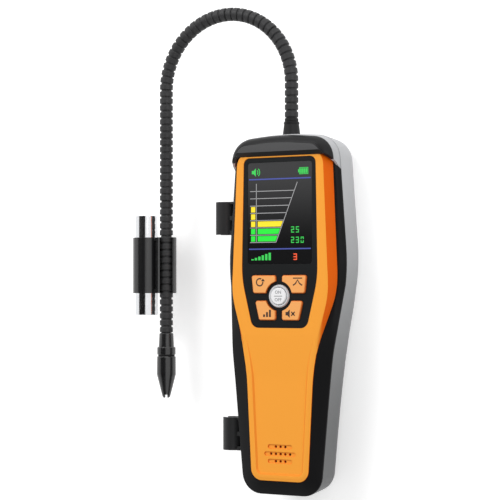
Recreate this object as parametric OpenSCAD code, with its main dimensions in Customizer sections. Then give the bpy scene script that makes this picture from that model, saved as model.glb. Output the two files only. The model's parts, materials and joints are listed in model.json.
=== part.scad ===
// Handheld refrigerant leak detector with a gooseneck probe.
// It lies on its back: +X to its right, +Y towards the gooseneck, +Z out of the screen.
// Heights run from the bottom edge of the housing, depths from its front face.

/* [Housing] */
// Height of the housing, bottom edge to the top of the cap
body_h = 204; // [200:1:210]
// Depth of the housing, back to the front face
depth = 36; // [34:0.5:40]
// Width across the seam at the widest line
head_w = 75.2; // [73:0.2:78]
// Distance of the widest line below the top
head_drop = 76; // [72:1:80]
// Width across the seam at the waist
waist_w = 61.2; // [60:0.2:63]
// Height of the waist
waist_y = 70; // [64:1:74]
// Width across the seam at the bottom end
tail_w = 48.6; // [47:0.2:52]
// Width across the seam at the top end
top_w = 64.6; // [63:0.2:67]
// Corner radius at the bottom end
tail_r = 12; // [11:0.5:14]
// Corner radius at the top end
top_r = 14; // [12:0.5:16]
// Rise of the arched top edge over its corners
crown = 3; // [2:0.5:4]
// Wall of the rear cover
wall = 2.2; // [1.8:0.1:2.6]
// Depth of the seam behind the front face, in the head
seam_head = 10.2; // [9.6:0.1:11]
// Depth of the seam behind the front face, in the handle
seam_tail = 4; // [3.5:0.1:5]
// How far the rounded back edge is drawn in
back_round = 9.5; // [8:0.5:10]
// Draft of the side walls
draft = 0.9; // [0.5:0.1:1.5]
// How far the handle's sides lean in towards the back
handle_lean = 3.2; // [2:0.1:3.6]

/* [Front cover] */
// Width of the front cover at its shoulders
face_head_w = 67.2; // [65.6:0.2:68.4]
// Distance of the shoulders below the top
face_head_drop = 88; // [84:1:92]
// Width of the front cover at its waist
face_waist_w = 42.8; // [41:0.2:45]
// Height of the front cover's waist
face_waist_y = 76; // [72:1:80]
// Width of the front cover at its bottom end
face_tail_w = 35.8; // [35:0.2:38]
// Height of the front cover's bottom edge
face_bottom = 8; // [7:0.2:9]
// Width of the front cover at its top end
face_top_w = 60; // [58.4:0.2:61]
// Gap between the front cover's top edge and the top of the housing
face_top_gap = 6; // [5:0.2:7]
// Width of the bevel round the head
bevel_w = 3.4; // [3.2:0.1:4]
// Depth of the bevel round the head
bevel_dz = 6.2; // [5.5:0.1:7]
// Width of the rounded rim round the handle
rim_w = 1.4; // [1:0.1:1.8]
// Depth of the rounded rim round the handle
rim_dz = 0.6; // [0.4:0.1:1]
// Depth of the shallow dish in the handle
dish_dz = 0.9; // [0.6:0.1:1]
// Width of the flat land round the dish
dish_land = 2; // [1.6:0.1:2.6]
// Height where the dish's floor starts to rise
dish_flat_y = 66; // [60:1:70]
// Height where the dish's floor meets the flat face
dish_end_y = 90; // [86:1:92]
// Thickness of the front cover behind its flat face
cover_t = 3; // [2.8:0.1:3.4]
// Width of the seat of the front cover on the bumper
lap = 1; // [0.8:0.1:1.2]
// Length of the skirt that drops inside the bumper
skirt_h = 3; // [2:0.5:4]
// Thickness of the skirt
skirt_t = 1.6; // [1.4:0.1:2]

/* [Top cap] */
// How far the hood stands out in front of the front face
hood_out = 3; // [2.5:0.1:3.5]
// Distance of the cap's ends below the top, at the seam
cap_drop = 21.7; // [20:0.1:23]
// Rise of the hood's lower edge for each millimetre forward
hood_slope = 0.79; // [0.7:0.01:0.82]
// Height over the seam of the rear cover's wall under the cap
cap_wall_h = 6.6; // [5.6:0.1:7]

/* [Window and display] */
// Distance of the window's top edge below the top
window_drop = 14.4; // [14:0.1:15]
// Height of the window
window_h = 95.6; // [94:0.2:97]
// Width of the window at its shoulders
window_w = 47.8; // [47:0.2:49]
// Height of the window's shoulders above its bottom edge
window_shoulder = 28; // [26:0.5:30]
// Width of the window at its bottom edge
window_tail_w = 34.4; // [33.6:0.2:36]
// Width of the window at its top edge
window_top_w = 45.2; // [44.8:0.2:46]
// Thickness of the window
window_t = 1.7; // [1.5:0.1:1.9]
// How far the window lies below the front face
window_sink = 0.3; // [0.2:0.1:0.5]
// Width of the ledge that carries the window
window_ledge = 1.5; // [1.2:0.1:1.6]
// Width of the display glass
lcd_w = 40.5; // [39:0.1:41]
// Height of the display glass
lcd_h = 57.2; // [55:0.1:57.4]
// Distance of the display glass below the window's top edge
lcd_drop = 2.6; // [2.4:0.1:3]
// Thickness of the display module behind the window
module_t = 3.6; // [3.2:0.1:4]

/* [Keys] */
// Height of the power key above the window's bottom edge
power_up = 17.8; // [17.4:0.1:18.2]
// Gap between the left and the right keys
keys_split = 4; // [3.6:0.1:4.6]
// Width of an upper key at its top edge
upper_key_w = 15.4; // [14.8:0.1:15.8]
// Height of an upper key
upper_key_h = 10.1; // [9.6:0.1:10.6]
// Height of the upper keys above the power key's middle
upper_key_up = 1.6; // [1.4:0.1:2]
// Slant of an upper key's outer edge
upper_key_slant = 1.1; // [0.8:0.1:1.4]
// Width of a lower key at its top edge
lower_key_w = 13.1; // [12.6:0.1:13.5]
// Height of a lower key
lower_key_h = 10.9; // [10.4:0.1:11.2]
// Distance of the lower keys below the power key's middle
lower_key_down = 2.6; // [2.4:0.1:2.8]
// Slant of a lower key's outer edge
lower_key_slant = 2.6; // [2:0.1:3]
// Radius of the hollow that the keys leave round the power key
key_hollow_r = 8.5; // [8.2:0.1:8.8]
// Corner radius of the keys
key_r = 1.3; // [0.9:0.1:1.6]
// How far the keys stand out of the window
key_out = 1.2; // [0.9:0.1:1.5]
// Travel of the keys
key_travel = 0.8; // [0.6:0.1:0.8]
// Clearance round the keys
key_fit = 0.25; // [0.2:0.05:0.3]
// Diameter of the power key's cap
power_d = 9.5; // [9:0.1:9.8]
// Diameter of the power key's bezel
bezel_d = 12.9; // [12.6:0.1:13.4]

/* [Speaker] */
// Height of the speaker grille's middle
grille_y = 23.2; // [22:0.2:25]
// Diameter of a grille hole
grille_hole_d = 1.5; // [1.2:0.1:1.8]
// Pitch of the grille holes
grille_pitch = 3; // [2.8:0.1:3.2]
// Pitch of the grille rows
grille_row = 4.1; // [3.9:0.1:4.5]
// Height of a grille slot
slot_h = 2.4; // [2.2:0.1:2.8]
// Length of the middle grille slot
slot_w = 19.8; // [18:0.2:21]
// Depth of the grille slots
slot_dz = 0.7; // [0.5:0.1:1]
// Diameter of the speaker
speaker_d = 19; // [18:0.5:21]

/* [Gooseneck] */
// Diameter of the gooseneck's rings
neck_d = 7.8; // [7.4:0.1:8]
// Diameter of the gooseneck between its rings
core_d = 6.3; // [6:0.1:6.5]
// Pitch of the rings
ring_pitch = 4.1; // [4:0.05:4.3]
// Gap between two rings
ring_gap = 1; // [0.95:0.05:1.15]
// Depth of the gooseneck's axis behind the front face
neck_back = 15; // [14.5:0.1:15.5]
// Rings on the straight rise out of the boot
rise_rings = 5; // [4:1:6]
// Rings on the arch
arch_rings = 32; // [32:4:40]
// Rings on the straight run down to the nozzle
run_rings = 35; // [34:1:36]
// Height of the boot at the foot of the gooseneck
boot_h = 9.5; // [9:0.1:10.4]
// Diameter of the boot at its foot
boot_d = 10; // [9.6:0.1:10.6]
// Diameter of the boot at its top
boot_top_d = 8.6; // [8.4:0.1:9]

/* [Probe] */
// Length of the ferrule
ferrule_l = 8.2; // [7.8:0.1:9]
// Diameter of the ferrule at the gooseneck
ferrule_d = 8.3; // [8:0.1:8.6]
// Diameter of the ferrule at its collar
ferrule_end_d = 9.1; // [8.8:0.1:9.4]
// Diameter of the collar
collar_d = 10.9; // [10.4:0.1:11.2]
// Length of the collar
collar_l = 4.6; // [4.2:0.1:5]
// Diameter of the nozzle
nozzle_d = 11.3; // [11:0.1:11.8]
// Length of the straight part of the nozzle
nozzle_l = 11; // [10.4:0.1:11.6]
// Length of the nozzle's taper
taper_l = 13.5; // [13:0.1:14.5]
// Diameter of the nozzle's tip
tip_d = 4.3; // [4:0.1:4.8]
// Width of the slot across the tip
tip_slot = 1.3; // [1:0.1:1.5]
// Depth of the slot across the tip
tip_slot_dz = 1.8; // [1.4:0.1:2]

/* [Holder and tube] */
// Diameter of the tube
tube_d = 14; // [13.6:0.1:14.4]
// Length of the tube
tube_l = 59; // [56:0.5:62]
// Height of the tube's middle
tube_y = 130; // [128:0.5:132]
// Wall of the tube
tube_wall = 1; // [0.8:0.1:1.4]
// Length of the holder
holder_l = 33; // [30:0.5:36]
// Wall of the holder's sleeve
sleeve_wall = 0.9; // [0.8:0.1:1.2]
// Outer diameter of the holder's channel
channel_d = 12; // [11.6:0.1:12.2]
// Turn of the channel's mouth from straight forward, to the right
mouth_turn = 29; // [0:1:40]

/* [Side clips] */
// Height of the upper clip's middle
upper_clip_y = 157; // [150:0.5:160]
// Height of the lower clip's middle
lower_clip_y = 32; // [30:0.5:36]
// Distance of the upper clip's axis from its pad
upper_clip_reach = 9.3; // [6.3:0.1:10]
// Distance of the lower clip's axis from its pad
lower_clip_reach = 12.6; // [10:0.1:13.4]
// Height of the clips' axis over the back
clip_z = 16; // [15:0.5:17]
// Length of a clip
clip_l = 19; // [18:0.5:21]
// Bore of the clips
clip_bore_d = 8; // [7.8:0.05:8.2]
// Wall of the clips
clip_wall = 1.9; // [1.7:0.1:2.2]
// Width of the clips' mouth
clip_mouth = 5.6; // [5:0.1:6]

/* [Inside] */
// Diameter of the battery cell
cell_d = 18.4; // [18:0.1:18.6]
// Length of the battery cell
cell_l = 65; // [64:0.5:66]
// Thickness of the circuit boards
board_t = 1.6; // [1.4:0.1:1.8]
// Width of the main board
board_w = 41; // [39:0.5:41]
// Diameter of the pump's motor
motor_d = 15.4; // [14:0.2:16]
// Diameter of the sample hoses
hose_d = 4; // [3.6:0.1:4.4]

/* [Hidden] */
$fn = 64;
fit = 0.05;
slip = 0.1;
seam_gap = 0.12;
big = 300;

// Colours
orange = [0.98, 0.6, 0.18];
black = [0.11, 0.11, 0.12];
grey = [0.62, 0.63, 0.64];
steel = [0.8, 0.8, 0.82];
board_green = [0.1, 0.35, 0.2];

// Heights that follow the top of the housing
head_y = body_h - head_drop;
face_head_y = body_h - face_head_drop;
face_top = body_h - face_top_gap;
window_top = body_h - window_drop;
window_bottom = window_top - window_h;
power_y = window_bottom + power_up;
lcd_top = window_top - lcd_drop;
ramp_start = waist_y + 6;
ramp_end = head_y - 10;
crown_r = 150;
waist_r = 1000;
head_r = 110;
face_tail_r = 6.7;
face_waist_r = 120;
face_head_r = 60;
face_top_r = 12;
face_crown = 2;
face_crown_r = 200;
window_tail_r = 5;
window_shoulder_r = 60;
window_top_r = 3.5;
top_y = body_h - crown_r * (1 / cos(atan(2 * crown / top_w)) - 1);

// Depths as heights over the back
seam_high_z = depth - seam_tail;
seam_low_z = depth - seam_head;
ceiling_z = depth - cover_t;
window_front_z = depth - window_sink;
window_back_z = window_front_z - window_t;
module_top_z = window_back_z - slip;
board_top_z = module_top_z - module_t;
board_back_z = board_top_z - board_t;
hood_z = depth + hood_out;
neck_z = depth - neck_back;

// Direction from one point to another, the turn between two directions, and a rounded corner.
// A corner is [x, y, radius, steps]. An inset moves its arc towards the inside of the outline.
function xy(v) = [v[0], v[1]];
function unit(v) = v / norm(v);
function turn(a, b) = atan2(a[0] * b[1] - a[1] * b[0], a * b);
function corner(before, at, after, inset) =
    let (
        come = unit(xy(at) - xy(before)),
        go = unit(xy(after) - xy(at)),
        angle = turn(come, go),
        side = sign(angle),
        reach = at[2] * tan(abs(angle) / 2),
        middle = xy(at) - come * reach + side * at[2] * [-come[1], come[0]],
        radius = max(0.3, at[2] - side * inset),
        start = atan2(come[1], come[0]) - 90 * side
    )
    [for (i = [0 : at[3]]) let (a = start + angle * i / at[3]) middle + radius * [cos(a), sin(a)]];
function outline(corners, inset) =
    let (n = len(corners))
    [for (i = [0 : n - 1]) each corner(corners[(i + n - 1) % n], corners[i], corners[(i + 1) % n], inset)];
function mirrored(v) = [-v[0], v[1], v[2], v[3]];
function both_sides(right, top) =
    concat(right, top, [for (i = [len(right) - 1 : -1 : 0]) mirrored(right[i])]);

// Outlines of the housing: the seam, the back, the front cover's edge, its flat face and the window
seam_corners = both_sides([
    [tail_w / 2, 0, tail_r, 8],
    [waist_w / 2, waist_y, waist_r, 5],
    [head_w / 2, head_y, head_r, 5],
    [top_w / 2, body_h - crown, top_r, 8]
], [[0, body_h, crown_r, 4]]);
back_corners = both_sides([
    [tail_w / 2 - handle_lean, 0, tail_r, 8],
    [waist_w / 2 - handle_lean, waist_y, waist_r, 5],
    [head_w / 2, head_y, head_r, 5],
    [top_w / 2, body_h - crown, top_r, 8]
], [[0, body_h, crown_r, 4]]);
face_corners = both_sides([
    [face_tail_w / 2, face_bottom, face_tail_r, 8],
    [face_waist_w / 2, face_waist_y, face_waist_r, 5],
    [face_head_w / 2, face_head_y, face_head_r, 5],
    [face_top_w / 2, face_top - face_crown, face_top_r, 8]
], [[0, face_top, face_crown_r, 4]]);
flat_corners = both_sides([
    [face_tail_w / 2 - rim_w, face_bottom + rim_w, face_tail_r - rim_w, 8],
    [face_waist_w / 2 - rim_w, face_waist_y, face_waist_r, 5],
    [face_head_w / 2 - bevel_w, face_head_y - bevel_w, face_head_r - 3 * bevel_w, 5],
    [face_top_w / 2 - bevel_w, face_top - face_crown - bevel_w, face_top_r - bevel_w, 8]
], [[0, face_top - bevel_w, face_crown_r, 4]]);
window_corners = both_sides([
    [window_tail_w / 2, window_bottom, window_tail_r, 8],
    [window_w / 2, window_bottom + window_shoulder, window_shoulder_r, 6],
    [window_top_w / 2, window_top, window_top_r, 6]
], []);

// Height of the seam and of the front cover's edge: deep round the head, shallow round the handle
function ramp(y) = let (t = min(1, max(0, (y - ramp_start) / (ramp_end - ramp_start)))) t * t * (3 - 2 * t);
function seam_z(y) = seam_high_z - (seam_head - seam_tail) * ramp(y);
function edge_z(y) = depth - rim_dz - (bevel_dz - rim_dz) * ramp(y);

// Rings for a loft: at one height, along the seam or along the front cover's edge
function level(points, z) = [for (p = points) [p[0], p[1], z]];
function on_seam(points, share, lift) = [for (p = points) [p[0], p[1], seam_z(p[1]) * share + lift]];
function on_edge(points, lift) = [for (p = points) [p[0], p[1], edge_z(p[1]) + lift]];
function between(a, b, share, lift) =
    [for (i = [0 : len(a) - 1]) a[i] * (1 - share) + b[i] * share + [0, 0, lift]];

// Skin over a stack of rings, closed by a face at each end, or joined into a loop
module loft(rings, loop = false) {
    n = len(rings[0]);
    m = len(rings);
    sides = [for (i = [0 : m - (loop ? 1 : 2)], j = [0 : n - 1])
        let (k = (i + 1) % m, l = (j + 1) % n) each [
            [i * n + j, k * n + j, k * n + l],
            [i * n + j, k * n + l, i * n + l]
        ]];
    ends = loop ? [] : [
        [for (j = [0 : n - 1]) j],
        [for (j = [n - 1 : -1 : 0]) (m - 1) * n + j]
    ];
    polyhedron([for (r = rings) each r], concat(sides, ends));
}

module slab(points, z0, z1) {
    translate([0, 0, z0])
        linear_extrude(z1 - z0)
            polygon(points);
}

module post(at, r, z0, z1) {
    translate([at[0], at[1], z0])
        cylinder(r = r, h = z1 - z0);
}

// A turned piece whose profile is [radius, height along +Y], and the profile of a plain rod
function rod(r, length) = [[0, 0], [r, 0], [r, length], [0, length]];
module turned(at, profile) {
    translate(at)
        rotate([-90, 0, 0])
            rotate_extrude()
                polygon(profile);
}

module block(x, y, z) {
    translate([x[0], y[0], z[0]])
        cube([x[1] - x[0], y[1] - y[0], z[1] - z[0]]);
}

// Half-width of the housing at a height
function wall_x(y) =
    y < waist_y ? tail_w / 2 + (waist_w - tail_w) / 2 * y / waist_y
    : y < head_y ? waist_w / 2 + (head_w - waist_w) / 2 * (y - waist_y) / (head_y - waist_y)
    : head_w / 2 + (top_w - head_w) / 2 * (y - head_y) / (body_h - crown - head_y);

// Places of the screws: a row is its height and its distance from the wall
screw_seat_z = 12;
screw_head_r = 2;
screw_r = 1.25;
boss_r = 3.7;
pillar_r = 2.6;
screw_rows = [[14.6, 13.6], [power_y - 5, 10.5], [body_h - 32, 10.9]];
case_screw_at = [for (s = [-1, 1], row = screw_rows) [s * (wall_x(row[0]) - row[1]), row[0]]];
board_ear_x = window_w / 2 + 1.1;
board_ear_y = power_y + 28.2;
board_screw_at = [[-board_ear_x, board_ear_y], [board_ear_x, board_ear_y], [0, window_bottom - 4.5]];
board_screw_r = 0.9;

// The slanting plane under the cap, as a prism across the housing
module above_cap_line(gap) {
    low = body_h - cap_drop - hood_slope * seam_low_z - gap;
    high = low + hood_slope * big;
    rotate([90, 0, 90])
        linear_extrude(big, center = true)
            polygon([[low - hood_slope * big, -big], [big * 2, -big], [big * 2, big], [high, big]]);
}

// Hood over the top end, with a raised brow in front: the rear cover takes its wall, the cap the rest
cap_seat_z = seam_low_z + cap_wall_h;
brow_h = seam_head + 0.9;
brow_steps = [[0, 0], [0.42, 0.25], [0.69, 1.1], [0.87, 2.6], [0.975, 4.2], [1, 5.2]];
hood_step = 0.35;
hood_root = 0.8;

module hood() {
    difference() {
        intersection() {
            loft(concat(
                [level(outline(seam_corners, wall / 4), seam_low_z - hood_root)],
                [for (s = brow_steps)
                    level(outline(seam_corners, s[1] + hood_step), seam_low_z + fit + s[0] * brow_h)],
                [
                    level(outline(seam_corners, 5.5), hood_z - 0.7),
                    level(outline(seam_corners, 5.8), hood_z - 0.2),
                    level(outline(seam_corners, 6.6), hood_z)
                ]
            ));
            above_cap_line(0);
        }
        loft([
            level(outline(seam_corners, wall - hood_step), 0),
            level(outline(seam_corners, wall - hood_step), seam_low_z + 5),
            level(outline(seam_corners, wall + 2), depth - 2),
            level(outline(seam_corners, wall + 3.2), depth + fit)
        ]);
    }
}

// Rear cover: an open shell with a rounded back, screw posts, clip pads and the charging slot
round_share = 0.45;
round_steps = [10 : 16 : 90];
inner_steps = [90 : -30 : 0];
skim = 0.03;
floor_sink = 0.15;
function back_inset(a) = draft + back_round * (1 - sin(a));
function up_share(a) = round_share * (1 - cos(a));
function leaning(a, inset) =
    outline(back_corners, inset) * (1 - up_share(a)) + outline(seam_corners, inset) * up_share(a);
function back_ring(a) = on_seam(leaning(a, back_inset(a)), up_share(a), 0);
function floor_ring(a) =
    on_seam(leaning(a, back_inset(a) + wall), up_share(a), (wall - floor_sink) * cos(a));
pad_l = clip_l - 2;
pad_h = 9;
tenon_l = 11;
tenon_h = 5;
tenon_in = 4;
upper_pad_x = wall_x(upper_clip_y - clip_l / 2) + 0.2;
lower_pad_x = wall_x(lower_clip_y + clip_l / 2) + 0.2;
upper_clip_x = upper_pad_x + upper_clip_reach;
lower_clip_x = lower_pad_x + lower_clip_reach;
socket_w = 9;
socket_h = 3.3;
socket_z = 15;
socket_y = 1.4;
socket_l = 7.6;
notch_r = 3.6;
notch_l = 20;
notch_start = body_h - 12;
charge_board_t = 1.2;
charge_board_half = 7.5;
charge_board_y = 4;
charge_board_l = 7.5;
charge_post_at = [[-5.5, 8.5], [5.5, 8.5]];
charge_board_z = socket_z - socket_h / 2 - charge_board_t;

module clip_pad(y, x) {
    block([-x, -x + wall + 3], [y - pad_l / 2, y + pad_l / 2], [clip_z - pad_h / 2, clip_z + pad_h / 2]);
}

module clip_slot(y, x, gap) {
    block([-x - 1, -x + tenon_in + gap], [y - tenon_l / 2 - gap, y + tenon_l / 2 + gap],
        [clip_z - tenon_h / 2 - gap, clip_z + tenon_h / 2 + gap]);
}

module rear_cover() {
    color(grey)
        difference() {
            union() {
                loft(concat(
                    [level(leaning(0, back_inset(0) + 0.2), -skim)],
                    [for (a = round_steps) back_ring(a)],
                    [on_seam(outline(seam_corners, 0), 1, 0), on_seam(outline(seam_corners, wall), 1, 0)],
                    [for (a = inner_steps) floor_ring(a)],
                    [level(leaning(0, back_inset(0) + wall), wall / 2)]
                ));
                slab(leaning(0, back_inset(0) - 0.4), wall / 4, wall);
                for (p = case_screw_at)
                    post(p, boss_r, wall / 2, seam_low_z);
                for (p = charge_post_at)
                    post(p, 1.8, wall / 2, charge_board_z);
                clip_pad(upper_clip_y, upper_pad_x);
                clip_pad(lower_clip_y, lower_pad_x);
                intersection() {
                    hood();
                    block([-big, big], [-big, big], [0, cap_seat_z]);
                }
            }
            for (p = case_screw_at) {
                post(p, screw_head_r + 0.3, -1, screw_seat_z);
                post(p, screw_r + slip, 0, depth);
            }
            clip_slot(upper_clip_y, upper_pad_x, fit);
            clip_slot(lower_clip_y, lower_pad_x, fit);
            block([-big, big], [-big, big], [-big, 0]);
            block([-socket_w / 2 - slip, socket_w / 2 + slip], [-1, 6],
                [socket_z - socket_h / 2 - slip, socket_z + socket_h / 2 + slip]);
            turned([0, notch_start, neck_z], rod(notch_r, notch_l));
        }
}

// Bumper: the band between the front cover and the rear cover, ending under the cap
module bumper() {
    foot = on_seam(outline(seam_corners, 0), 1, seam_gap);
    side = on_seam(outline(seam_corners, 0.1), 1, 0.9);
    land = on_edge(outline(face_corners, -0.9), -seam_gap - 0.25);
    color(black)
        difference() {
            loft([
                foot,
                side,
                between(side, land, 0.5, 0.35),
                land,
                on_edge(outline(face_corners, -0.1), -seam_gap),
                on_edge(outline(face_corners, lap - slip), -seam_gap),
                on_seam(outline(face_corners, lap - slip), 1, seam_gap),
                on_seam(outline(seam_corners, wall + slip), 1, seam_gap)
            ], loop = true);
            above_cap_line(slip);
        }
}

// Front cover: flat face, bevelled head, rounded handle, window seat and speaker grille
module grille_row(row, holes, length) {
    y = grille_y + row * grille_row;
    for (i = [0 : holes - 1])
        post([(i - (holes - 1) / 2) * grille_pitch, y], grille_hole_d / 2, ceiling_z - 1, depth + 1);
    half = (length - slot_h) / 2;
    for (s = [-1, 1])
        post([s * half, y], slot_h / 2, dish_z - slot_dz, depth + 1);
    block([-half, half], [y - slot_h / 2, y + slot_h / 2], [dish_z - slot_dz, depth + 1]);
}

// Dish in the handle: drafted walls, a flat floor and a ramp up to the flat face
dish_z = depth - dish_dz;
dish_over = 0.6;

module handle_dish() {
    slope = dish_dz / (dish_end_y - dish_flat_y);
    intersection() {
        loft([
            level(outline(flat_corners, dish_land + dish_dz + dish_over), dish_z - dish_over),
            level(outline(flat_corners, dish_land - dish_over), depth + dish_over)
        ]);
        rotate([90, 0, 90])
            linear_extrude(big, center = true)
                polygon([
                    [0, dish_z], [dish_flat_y, dish_z], [dish_end_y + 1, depth + slope], [0, depth + slope]
                ]);
    }
}

function under_edge(points) =
    [for (p = points) [p[0], p[1], min(edge_z(p[1]) - cover_t / 2, ceiling_z - 2 * floor_sink)]];

module front_cover() {
    inside = lap + skirt_t;
    color(orange)
        difference() {
            union() {
                loft([
                    level(outline(flat_corners, 2), ceiling_z + cover_t / 2),
                    level(outline(flat_corners, 2), ceiling_z - floor_sink),
                    under_edge(outline(face_corners, inside)),
                    on_edge(outline(face_corners, inside), -skirt_h),
                    on_edge(outline(face_corners, lap), -skirt_h),
                    on_edge(outline(face_corners, lap), 0),
                    on_edge(outline(face_corners, 0), 0),
                    on_edge(outline(face_corners, 0.12), 0.3),
                    level(outline(flat_corners, -0.35), depth - 0.22),
                    level(outline(flat_corners, 0.1), depth - 0.05),
                    level(outline(flat_corners, 0.8), depth + skim)
                ]);
                slab(outline(flat_corners, 1.6), ceiling_z, ceiling_z + 2);
                for (p = case_screw_at)
                    post(p, pillar_r, seam_low_z + fit, ceiling_z + 1);
                for (p = board_screw_at)
                    post(p, pillar_r, board_top_z + fit, ceiling_z + 1);
            }
            block([-big, big], [-big, big], [depth, big]);
            slab(outline(window_corners, -slip), window_back_z, depth + 1);
            slab(outline(window_corners, window_ledge), 0, depth);
            for (p = case_screw_at)
                post(p, screw_r + fit, 0, ceiling_z - 0.5);
            for (p = board_screw_at)
                post(p, board_screw_r + fit, 0, ceiling_z);
            handle_dish();
            grille_row(1, 3, slot_w - 2 * grille_pitch + 1.6);
            grille_row(0, 5, slot_w);
            grille_row(-1, 3, slot_w - 2 * grille_pitch + 1.6);
        }
}

// Top cap: the hood above the rear cover's wall
module top_cap() {
    color(black)
        difference() {
            hood();
            block([-big, big], [-big, big], [-big, cap_seat_z + fit]);
        }
}

// Keys round the power key: corners of the right-hand upper and lower key
upper_corners = [
    [keys_split / 2, power_y + upper_key_up, key_r, 5],
    [keys_split / 2 + upper_key_w - upper_key_slant, power_y + upper_key_up, key_r, 5],
    [keys_split / 2 + upper_key_w, power_y + upper_key_up + upper_key_h, key_r, 5],
    [keys_split / 2, power_y + upper_key_up + upper_key_h, key_r, 5]
];
lower_corners = [
    [keys_split / 2, power_y - lower_key_down - lower_key_h, key_r, 5],
    [keys_split / 2 + lower_key_w - lower_key_slant, power_y - lower_key_down - lower_key_h, key_r, 5],
    [keys_split / 2 + lower_key_w, power_y - lower_key_down, key_r, 5],
    [keys_split / 2, power_y - lower_key_down, key_r, 5]
];
key_top_z = window_front_z + key_out;
switch_h = 1.4;
key_foot_z = board_top_z + switch_h + key_travel + slip;
key_flange = 0.8;
key_edge = 0.45;
power_foot_r = power_d / 2 + key_flange;

module key_hole(corners) {
    difference() {
        slab(outline(corners, -key_fit), 0, depth + 5);
        post([0, power_y], key_hollow_r - key_fit, 0, depth + 5);
    }
}

module key_cap(corners) {
    color(orange)
        difference() {
            union() {
                hull() {
                    slab(outline(corners, 0), window_back_z - slip, key_top_z - key_edge);
                    slab(outline(corners, key_edge), key_top_z - 0.2, key_top_z);
                }
                slab(outline(corners, -key_flange), key_foot_z, window_back_z - slip);
            }
            post([0, power_y], key_hollow_r, window_back_z - slip, depth + 5);
            post([0, power_y], key_hollow_r - key_flange, 0, depth + 5);
        }
}

module reset_key() {
    mirror([1, 0, 0])
        key_cap(upper_corners);
}

module peak_key() {
    key_cap(upper_corners);
}

module sens_key() {
    mirror([1, 0, 0])
        key_cap(lower_corners);
}

module mute_key() {
    key_cap(lower_corners);
}

module power_key() {
    color("white")
        turned_up([0, power_y, 0], [
            [0, key_foot_z], [power_foot_r, key_foot_z], [power_foot_r, window_back_z - slip],
            [power_d / 2, window_back_z - slip], [power_d / 2, key_top_z + 0.1],
            [power_d / 2 - 0.4, key_top_z + 0.5], [0, key_top_z + 0.5]
        ]);
}

module turned_up(at, profile) {
    translate(at)
        rotate_extrude()
            polygon(profile);
}

module power_bezel() {
    bore = power_d / 2 + key_fit;
    color(steel)
        turned_up([0, power_y, 0], [
            [bore, window_front_z], [bezel_d / 2, window_front_z], [bezel_d / 2, window_front_z + 0.4],
            [bezel_d / 2 - 0.5, key_top_z], [bore + 0.5, key_top_z], [bore, key_top_z - 0.5]
        ]);
}

// Window: a dark sheet with openings for the display glass and the keys
module lcd_slab(grow, z0, z1) {
    block([-lcd_w / 2 - grow, lcd_w / 2 + grow], [lcd_top - lcd_h - grow, lcd_top + grow], [z0, z1]);
}

module display_window() {
    color(black)
        difference() {
            slab(outline(window_corners, 0), window_back_z, window_front_z);
            lcd_slab(slip, 0, depth + 1);
            for (side = [0, 1])
                mirror([side, 0, 0]) {
                    key_hole(upper_corners);
                    key_hole(lower_corners);
                }
            post([0, power_y], power_d / 2 + key_fit, 0, depth + 5);
        }
}

module display_module() {
    color([0.2, 0.2, 0.22]) {
        lcd_slab(0.4, board_top_z, module_top_z);
        lcd_slab(0, module_top_z, window_front_z - 0.2);
    }
}

// Circuit boards and switches
module main_board() {
    ear = 8;
    ear_end = board_ear_x + 3;
    below = 7;
    above = 3;
    color(board_green)
        difference() {
            union() {
                block([-board_w / 2, board_w / 2], [window_bottom - below, window_top - above],
                    [board_back_z, board_top_z]);
                block([-ear_end, ear_end], [board_ear_y - ear / 2, board_ear_y + ear / 2],
                    [board_back_z, board_top_z]);
            }
            for (p = board_screw_at)
                post(p, board_screw_r + slip, 0, depth);
        }
}

switch_share = 0.6;
upper_switch_at = [(keys_split + upper_key_w) / 2, power_y + upper_key_up + upper_key_h * switch_share];
lower_switch_at = [(keys_split + lower_key_w) / 2, power_y - lower_key_down - lower_key_h * switch_share];

module tact_switch(at) {
    block([at[0] - 2.2, at[0] + 2.2], [at[1] - 2.2, at[1] + 2.2], [board_top_z, board_top_z + 1]);
    post(at, 1.2, board_top_z + 1, board_top_z + switch_h);
}

module key_switches() {
    color(steel) {
        for (side = [-1, 1]) {
            tact_switch([side * upper_switch_at[0], upper_switch_at[1]]);
            tact_switch([side * lower_switch_at[0], lower_switch_at[1]]);
        }
        tact_switch([0, power_y]);
    }
}

// Speaker behind the grille
mesh_t = 0.3;

module speaker_mesh() {
    color(black)
        post([0, grille_y], speaker_d / 2 - 0.5, ceiling_z - fit - mesh_t, ceiling_z - fit);
}

module speaker() {
    top = ceiling_z - 2 * fit - mesh_t;
    color(black)
        turned_up([0, grille_y, 0], [
            [0, top - 4.5], [speaker_d / 2 - 3, top - 4.5], [speaker_d / 2 - 3, top - 2],
            [speaker_d / 2, top - 2], [speaker_d / 2, top], [0, top]
        ]);
}

// Battery in its tray, in the handle
tray_start = 19;
tray_end_t = 1.5;
tray_half = cell_d / 2 + 1.2;
tray_h = 7;
cell_z = wall + fit + 1 + cell_d / 2;
cell_start = tray_start + tray_end_t + slip;

module battery_tray() {
    color(black)
        difference() {
            block([-tray_half, tray_half], [tray_start, cell_start + cell_l + slip + tray_end_t],
                [wall + fit, wall + fit + tray_h]);
            turned([0, cell_start - slip, cell_z],
                rod(cell_d / 2 + slip, cell_l + 2 * slip));
        }
}

module battery_cell() {
    r = cell_d / 2;
    color([0.25, 0.4, 0.65])
        turned([0, cell_start, cell_z], [
            [0, 0], [r - 0.4, 0], [r, 0.4], [r, cell_l - 2.4], [r - 0.4, cell_l - 2], [3.5, cell_l - 2],
            [3.5, cell_l], [0, cell_l]
        ]);
}

// Charging socket on its own small board at the bottom end
module charge_board() {
    color(board_green)
        block([-charge_board_half, charge_board_half], [charge_board_y, charge_board_y + charge_board_l],
            [charge_board_z + fit, charge_board_z + charge_board_t]);
}

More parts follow.
